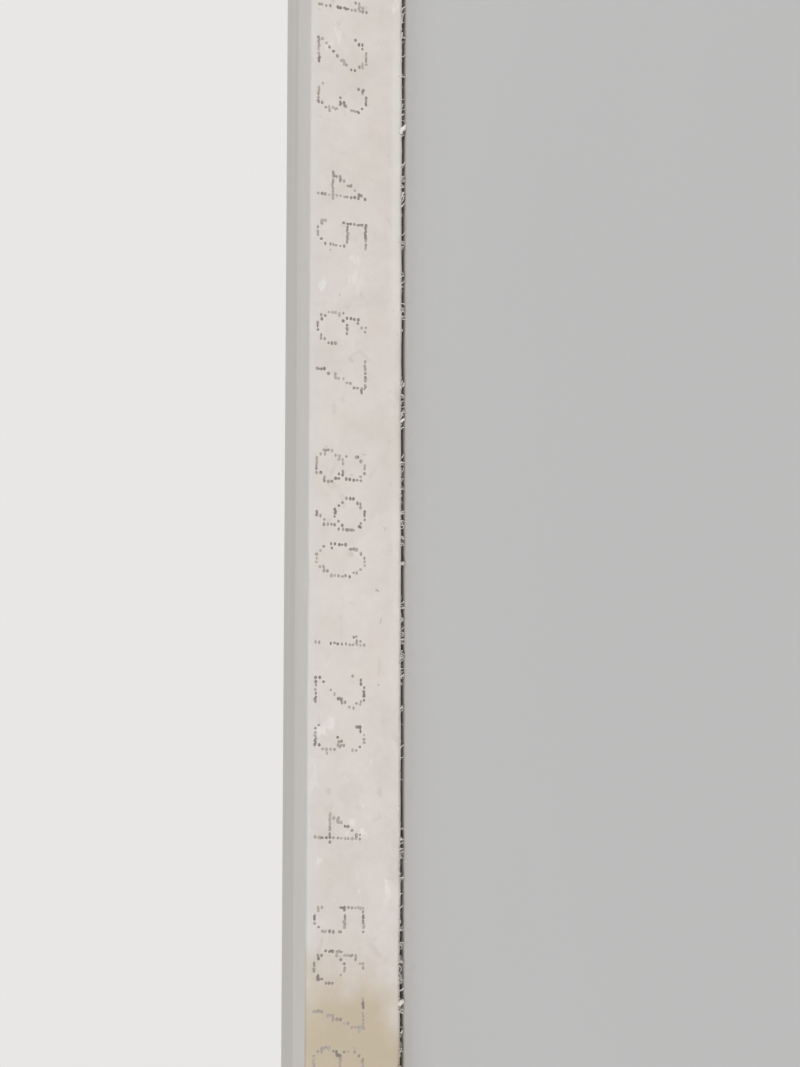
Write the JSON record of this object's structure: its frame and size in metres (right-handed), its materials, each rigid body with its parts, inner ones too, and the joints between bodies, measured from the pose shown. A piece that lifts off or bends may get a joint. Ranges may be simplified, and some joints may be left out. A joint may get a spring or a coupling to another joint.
{
  "type": "drywall sheet",
  "caption": "Full-size gypsum wallboard sheet: a plaster slab between two paper liners, with tapered, paper-wrapped long edges, lapped flaps on the back and square sawn ends.",
  "frame": {"origin": "middle of the back face, which lies on the floor", "axes": "+X along the sheet's length, +Y across its width, +Z out of the front face"},
  "size_m": [2.4, 1.2, 0.0125],
  "materials": {
    "gypsum": "matt, fine pores, chalky where sawn",
    "ivory_paper": "smooth uncoated liner paper",
    "grey_paper": "rough recycled liner paper"
  },
  "bodies": {
    "root": {"gypsum_core": "gypsum", "face_paper": "ivory_paper", "back_paper": "grey_paper"}
  },
  "joints": []
}
